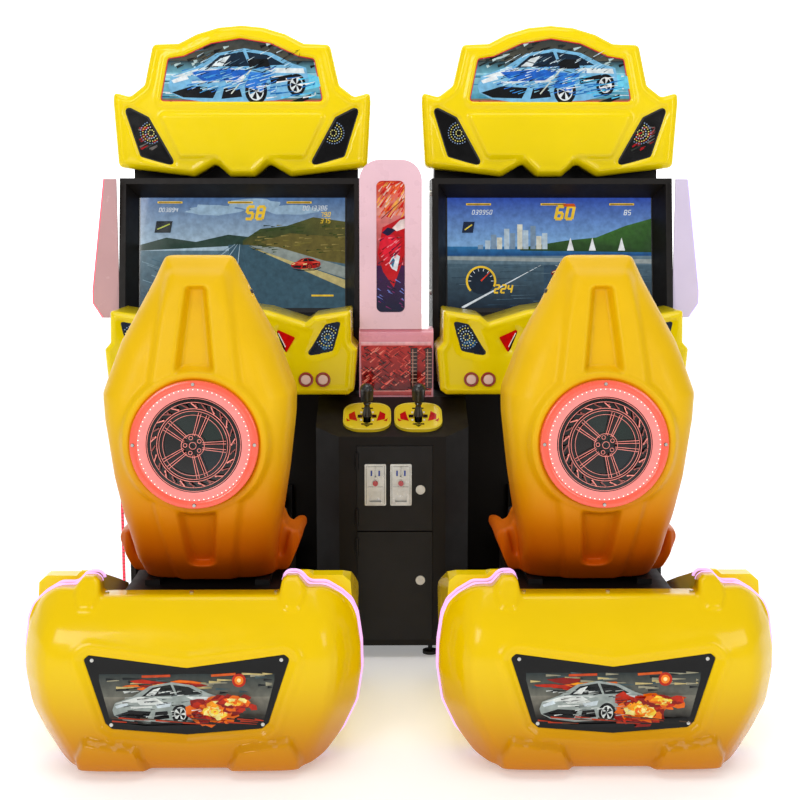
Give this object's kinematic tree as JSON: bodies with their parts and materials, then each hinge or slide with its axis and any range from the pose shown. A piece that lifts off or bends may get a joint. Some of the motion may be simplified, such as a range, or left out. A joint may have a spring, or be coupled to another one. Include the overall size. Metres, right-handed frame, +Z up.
{
  "type": "sitdown racing cabinet",
  "caption": "Twin sit-down driving cabinet: bucket seats on lit rear pods facing screens under arched headers, with a shared coin and gear-shift pedestal.",
  "frame": {"origin": "on the floor under the middle of the whole twin machine", "axes": "+Z up, +Y from the seats towards the screens, +X across from the left machine to the right"},
  "size_m": [2.04, 1.74, 2.0189],
  "materials": {
    "yellow_gloss": "high gloss gel coat",
    "seat_moulding": "satin rotation moulding",
    "cushion_vinyl": "grained black vinyl",
    "black_board": "black laminate on board",
    "black_steel": "black powder coat",
    "screen": "display glass",
    "printed_panel": "printed clear acrylic",
    "wheel_grip": "moulded grip",
    "pedal_metal": "brushed",
    "button_lit": "lit translucent",
    "lever_black": "black knob and boot",
    "lamp_lens": "lit coral ring",
    "bright_metal": "brushed",
    "red_button": "gloss",
    "pink_lens": "lit translucent pink",
    "gate_yellow": "gloss with printed arrows",
    "clear_acrylic": "edge-lit clear acrylic",
    "trim_dark": "dark tinted",
    "light_tube": "lit tube",
    "speaker_black": "perforated",
    "board_green": "circuit board in a tray",
    "black_plastic": "moulded"
  },
  "bodies": {
    "frame": {"cash_box": "black_steel", "control_boards": "board_green", "lamp_base": "pink_lens", "lamp_tower": "pink_lens", "left_cabinet": "black_board", "left_dash_shell": "yellow_gloss", "left_fender": "yellow_gloss", "left_header_shell": "yellow_gloss", "left_platform": "black_board", "left_rear_cover": "yellow_gloss", "levelling_feet": "black_plastic", "light_tubes": "light_tube", "monitors": "screen", "pedal_boxes": "black_steel", "pedestal": "black_board", "picture_panels": "printed_panel", "power_inlet": "black_plastic", "right_cabinet": "black_board", "right_dash_shell": "yellow_gloss", "right_fender": "yellow_gloss", "right_header_shell": "yellow_gloss", "right_platform": "black_board", "right_rear_cover": "yellow_gloss", "screws": "bright_metal", "seat_rails": "black_steel", "service_panels": "black_steel", "shift_gates": "gate_yellow", "side_fins": "clear_acrylic", "speakers": "speaker_black", "steering_columns": "black_steel", "trim_bands": "trim_dark"},
    "left_wheel": {"left_steering_wheel": "wheel_grip"},
    "left_accelerator": {"left_accelerator_pedal": "pedal_metal"},
    "left_brake": {"left_brake_pedal": "pedal_metal"},
    "left_start": {"left_start_button": "button_lit"},
    "left_view": {"left_view_button": "button_lit"},
    "left_shifter": {"left_shift_lever": "lever_black"},
    "left_seat": {"left_seat_shell": "seat_moulding", "left_seat_cushion": "cushion_vinyl", "left_back_cushion": "cushion_vinyl", "left_seat_lamp": "lamp_lens"},
    "left_adjuster": {"left_seat_lever": "pedal_metal"},
    "left_return": {"left_coin_return": "red_button"},
    "right_wheel": {"right_steering_wheel": "wheel_grip"},
    "right_accelerator": {"right_accelerator_pedal": "pedal_metal"},
    "right_brake": {"right_brake_pedal": "pedal_metal"},
    "right_start": {"right_start_button": "button_lit"},
    "right_view": {"right_view_button": "button_lit"},
    "right_shifter": {"right_shift_lever": "lever_black"},
    "right_seat": {"right_seat_shell": "seat_moulding", "right_seat_cushion": "cushion_vinyl", "right_back_cushion": "cushion_vinyl", "right_seat_lamp": "lamp_lens"},
    "right_adjuster": {"right_seat_lever": "pedal_metal"},
    "right_return": {"right_coin_return": "red_button"},
    "coin_door": {"coin_door": "black_steel", "coin_plates": "bright_metal"},
    "cash_door": {"cash_door": "black_steel"},
    "coin_lock": {"coin_door_lock": "bright_metal"},
    "cash_lock": {"cash_door_lock": "bright_metal"}
  },
  "joints": [
    {"name": "left_wheel_turn", "type": "hinge", "parent": "frame", "child": "left_wheel", "pos_m": [-0.524, 0.095, 0.965], "axis": [0, -0.8829, 0.4695], "range_deg": [-135, 135], "stiffness_Nm_per_rad": 0.6},
    {"name": "left_accelerator_press", "type": "hinge", "parent": "frame", "child": "left_accelerator", "pos_m": [-0.429, 0.7, 0.372], "axis": [1, 0, 0], "range_deg": [0, 12], "stiffness_Nm_per_rad": 12, "springref_deg": -8.59},
    {"name": "left_brake_press", "type": "hinge", "parent": "frame", "child": "left_brake", "pos_m": [-0.584, 0.7, 0.372], "axis": [1, 0, 0], "range_deg": [0, 10], "stiffness_Nm_per_rad": 25, "springref_deg": -8.59},
    {"name": "left_start_press", "type": "slide", "parent": "frame", "child": "left_start", "axis": [0, 1, 0], "range_m": [0, 0.004], "stiffness_N_per_m": 400, "springref_m": -0.002},
    {"name": "left_view_press", "type": "slide", "parent": "frame", "child": "left_view", "axis": [0, 1, 0], "range_m": [0, 0.004], "stiffness_N_per_m": 400, "springref_m": -0.002},
    {"name": "left_shift", "type": "hinge", "parent": "frame", "child": "left_shifter", "pos_m": [-0.095, 0.2055, 0.6875], "axis": [1, 0, 0], "range_deg": [-10, 10], "stiffness_Nm_per_rad": 4},
    {"name": "left_seat_slide", "type": "slide", "parent": "frame", "child": "left_seat", "axis": [0, 1, 0], "range_m": [0, 0.12]},
    {"name": "left_seat_release", "type": "hinge", "parent": "left_seat", "child": "left_adjuster", "pos_m": [-0.762, -0.06, 0.384], "axis": [1, 0, 0], "range_deg": [0, 7], "stiffness_Nm_per_rad": 3, "springref_deg": -5.73},
    {"name": "left_coin_return_press", "type": "slide", "parent": "coin_door", "child": "left_return", "axis": [0, 1, 0], "range_m": [0, 0.003], "stiffness_N_per_m": 400, "springref_m": -0.002},
    {"name": "right_wheel_turn", "type": "hinge", "parent": "frame", "child": "right_wheel", "pos_m": [0.524, 0.095, 0.965], "axis": [0, -0.8829, 0.4695], "range_deg": [-135, 135], "stiffness_Nm_per_rad": 0.6},
    {"name": "right_accelerator_press", "type": "hinge", "parent": "frame", "child": "right_accelerator", "pos_m": [0.619, 0.7, 0.372], "axis": [1, 0, 0], "range_deg": [0, 12], "stiffness_Nm_per_rad": 12, "springref_deg": -8.59},
    {"name": "right_brake_press", "type": "hinge", "parent": "frame", "child": "right_brake", "pos_m": [0.464, 0.7, 0.372], "axis": [1, 0, 0], "range_deg": [0, 10], "stiffness_Nm_per_rad": 25, "springref_deg": -8.59},
    {"name": "right_start_press", "type": "slide", "parent": "frame", "child": "right_start", "axis": [0, 1, 0], "range_m": [0, 0.004], "stiffness_N_per_m": 400, "springref_m": -0.002},
    {"name": "right_view_press", "type": "slide", "parent": "frame", "child": "right_view", "axis": [0, 1, 0], "range_m": [0, 0.004], "stiffness_N_per_m": 400, "springref_m": -0.002},
    {"name": "right_shift", "type": "hinge", "parent": "frame", "child": "right_shifter", "pos_m": [0.066, 0.2055, 0.6875], "axis": [1, 0, 0], "range_deg": [-10, 10], "stiffness_Nm_per_rad": 4},
    {"name": "right_seat_slide", "type": "slide", "parent": "frame", "child": "right_seat", "axis": [0, 1, 0], "range_m": [0, 0.12]},
    {"name": "right_seat_release", "type": "hinge", "parent": "right_seat", "child": "right_adjuster", "pos_m": [0.762, -0.06, 0.384], "axis": [1, 0, 0], "range_deg": [0, 7], "stiffness_Nm_per_rad": 3, "springref_deg": -5.73},
    {"name": "right_coin_return_press", "type": "slide", "parent": "coin_door", "child": "right_return", "axis": [0, 1, 0], "range_m": [0, 0.003], "stiffness_N_per_m": 400, "springref_m": -0.002},
    {"name": "coin_door_swing", "type": "hinge", "parent": "frame", "child": "coin_door", "pos_m": [-0.125, 0.068, 0.542], "axis": [0, 0, -1], "range_deg": [0, 75]},
    {"name": "cash_door_swing", "type": "hinge", "parent": "frame", "child": "cash_door", "pos_m": [-0.125, 0.068, 0.232], "axis": [0, 0, -1], "range_deg": [0, 75]},
    {"name": "coin_lock_turn", "type": "hinge", "parent": "coin_door", "child": "coin_lock", "pos_m": [0.071, 0.07, 0.539], "axis": [0, -1, 0], "range_deg": [0, 90]},
    {"name": "cash_lock_turn", "type": "hinge", "parent": "cash_door", "child": "cash_lock", "pos_m": [0.071, 0.07, 0.252], "axis": [0, -1, 0], "range_deg": [0, 90]}
  ]
}
